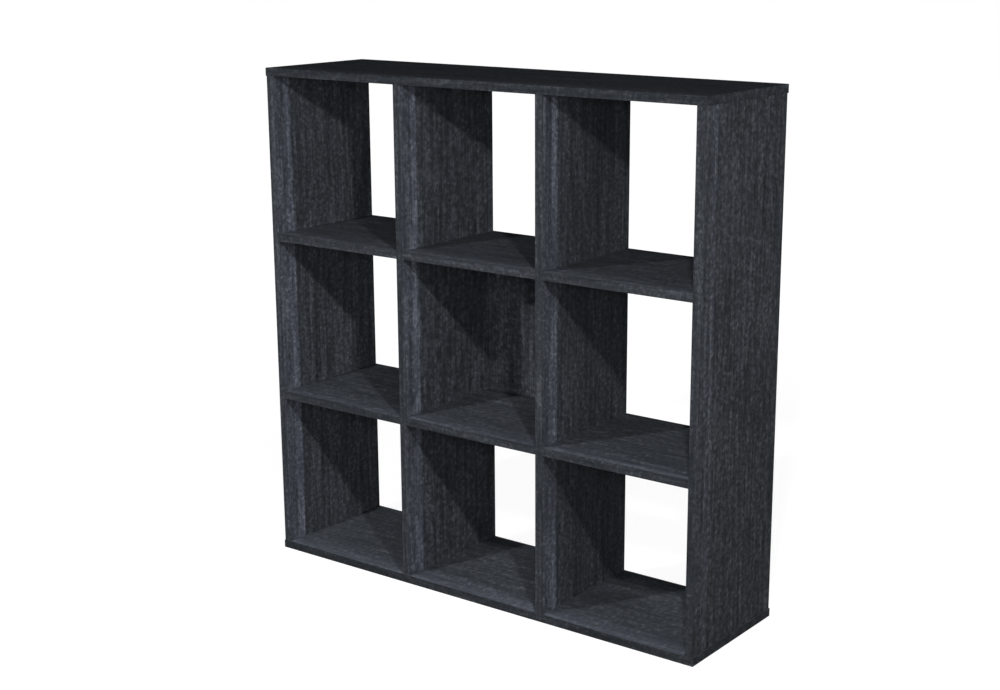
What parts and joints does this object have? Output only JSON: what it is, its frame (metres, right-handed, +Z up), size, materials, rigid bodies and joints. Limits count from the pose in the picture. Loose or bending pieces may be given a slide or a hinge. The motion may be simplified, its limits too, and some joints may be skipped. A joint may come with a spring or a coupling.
{
  "type": "cube storage unit",
  "caption": "Free-standing cube storage unit: a square grid of open cubes in dark wood-grain boards, with a back panel in the middle cube, joined with cam fittings and dowels.",
  "frame": {"origin": "middle of the footprint, on the floor under the bottom panel", "axes": "+X across the unit to the right seen from the front, -Y towards the front, +Z up"},
  "size_m": [0.998, 0.28, 0.997],
  "materials": {
    "upright_laminate": "charcoal wood-grain melamine, grain upright",
    "level_laminate": "charcoal wood-grain melamine, grain across",
    "upright_edging": "charcoal edging strip, fine grain",
    "level_edging": "charcoal edging strip, fine grain",
    "cover_foil": "charcoal cover foil",
    "zinc": "cast zinc, dull",
    "zinc_plated_steel": "zinc-plated",
    "beech": "raw fluted beech"
  },
  "bodies": {
    "root": {"top_panel": "level_laminate", "bottom_panel": "level_laminate", "left_side_panel": "upright_laminate", "left_divider": "upright_laminate", "right_divider": "upright_laminate", "right_side_panel": "upright_laminate", "shelf_upper_left": "level_laminate", "shelf_upper_middle": "level_laminate", "shelf_upper_right": "level_laminate", "shelf_lower_left": "level_laminate", "shelf_lower_middle": "level_laminate", "shelf_lower_right": "level_laminate", "centre_back_panel": "upright_laminate", "top_panel_edging": "level_edging", "bottom_panel_edging": "level_edging", "left_side_edging": "upright_edging", "left_divider_edging": "upright_edging", "right_divider_edging": "upright_edging", "right_side_edging": "upright_edging", "shelf_upper_left_edging": "level_edging", "shelf_upper_middle_edging": "level_edging", "shelf_upper_right_edging": "level_edging", "shelf_lower_left_edging": "level_edging", "shelf_lower_middle_edging": "level_edging", "shelf_lower_right_edging": "level_edging", "top_cam_locks": "zinc", "shelf_cam_locks": "zinc", "back_panel_cam_locks": "zinc", "top_cam_bolts": "zinc_plated_steel", "side_cam_bolts": "zinc_plated_steel", "divider_cam_bolts": "zinc_plated_steel", "back_panel_cam_bolts": "zinc_plated_steel", "top_dowels": "beech", "bottom_dowels": "beech", "side_dowels": "beech", "divider_dowels": "beech", "back_panel_dowels": "beech", "bottom_screws": "zinc_plated_steel", "top_cam_covers": "cover_foil", "shelf_cam_covers": "cover_foil"}
  },
  "joints": []
}
